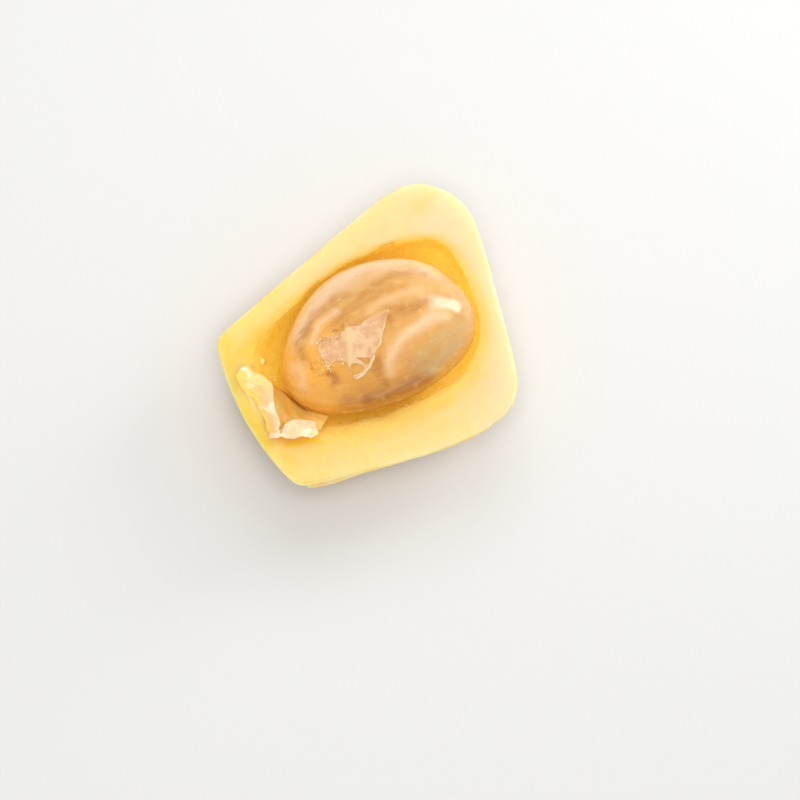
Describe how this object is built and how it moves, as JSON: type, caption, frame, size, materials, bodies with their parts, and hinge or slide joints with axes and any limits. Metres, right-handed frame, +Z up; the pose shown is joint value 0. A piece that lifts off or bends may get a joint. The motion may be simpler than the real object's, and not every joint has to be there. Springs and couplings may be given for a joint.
{
  "type": "jackfruit bulb half with its seed",
  "caption": "Fleshy fruit bulb halved lengthwise, with a trimmed narrow end, a ridged rounded back, and its oval seed lying in the open hollow.",
  "frame": {"origin": "middle of the half bulb's box, on the surface that its pressed-flat back lies on", "axes": "+X along the bulb from its trimmed narrow end to its rounded wide end, +Z up out of the cut face, +Y across the bulb to the hollow's steep side"},
  "size_m": [0.0568, 0.0492, 0.0298],
  "materials": {
    "flesh": "satin",
    "seed_coat": "gloss",
    "seed_film": "gloss",
    "seed_sac": "satin"
  },
  "bodies": {
    "root": {"bulb_flesh": "flesh", "seed": "seed_coat", "seed_film": "seed_film", "seed_sac_rag": "seed_sac"}
  },
  "joints": []
}
